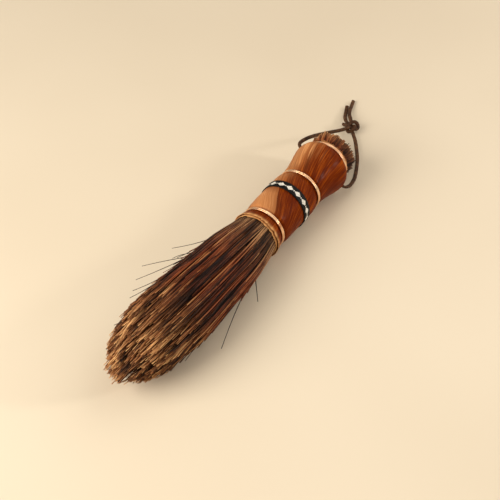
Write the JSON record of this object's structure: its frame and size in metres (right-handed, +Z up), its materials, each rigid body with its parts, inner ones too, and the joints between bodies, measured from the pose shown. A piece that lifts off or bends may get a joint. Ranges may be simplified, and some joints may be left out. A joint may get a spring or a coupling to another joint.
{
  "type": "pastry brush",
  "caption": "Hand-tied plant-fibre pastry brush: a spindle-shaped bristle head in a varnished bark handle bound with copper wire, with a hanging lace through a cross hole.",
  "frame": {"origin": "on the resting surface, under the middle of the brush without its hanging lace", "axes": "+X along the handle from the bristles towards the butt, +Z up from the surface that the brush lies on"},
  "size_m": [0.3502, 0.0586, 0.0491],
  "materials": {
    "bristle_fibre": "matt dark brown plant fibre, tan at the cut tips",
    "butt_fibre": "matt dark brown fibre, matted at the cut butt",
    "twine": "twisted natural twine",
    "inner_bark": "unvarnished fibrous bark",
    "varnished_bark": "glossy clear varnish over orange-brown streaked bark",
    "copper_wire": "bright drawn copper",
    "label_paper": "coated black paper with an off-white printed ornament",
    "lace": "worn dark brown flat lace"
  },
  "bodies": {
    "handle": {"root_hank_1": "butt_fibre", "root_hank_2": "butt_fibre", "root_hank_3": "butt_fibre", "root_hank_4": "butt_fibre", "root_hank_5": "butt_fibre", "root_hank_6": "butt_fibre", "root_hank_7": "butt_fibre", "root_hank_8": "butt_fibre", "root_core": "butt_fibre", "inner_tie_front": "twine", "inner_tie_rear": "twine", "bark_inner": "inner_bark", "bark_outer": "varnished_bark", "front_wire": "copper_wire", "middle_wire": "copper_wire", "rear_wire": "copper_wire", "label_band": "label_paper"},
    "bristles": {"bristle_hank_1": "bristle_fibre", "bristle_hank_2": "bristle_fibre", "bristle_hank_3": "bristle_fibre", "bristle_hank_4": "bristle_fibre", "bristle_hank_5": "bristle_fibre", "bristle_hank_6": "bristle_fibre", "bristle_hank_7": "bristle_fibre", "bristle_hank_8": "bristle_fibre", "bristle_core": "bristle_fibre"},
    "cord": {"cord_through": "lace", "cord_left": "lace", "cord_right": "lace", "cord_knot": "lace", "cord_tail_long": "lace", "cord_tail_short": "lace"}
  },
  "joints": [
    {"name": "bristle_flex", "type": "hinge", "parent": "handle", "child": "bristles", "pos_m": [0.03225, -0.00072, 0.0216], "axis": [0, 0, 1], "range_deg": [-12, 12], "stiffness_Nm_per_rad": 0.8},
    {"name": "cord_swing", "type": "hinge", "parent": "handle", "child": "cord", "pos_m": [0.10975, -0.00072, 0.0216], "axis": [0, 0.8829, 0.4695], "range_deg": [-155, 0]}
  ]
}
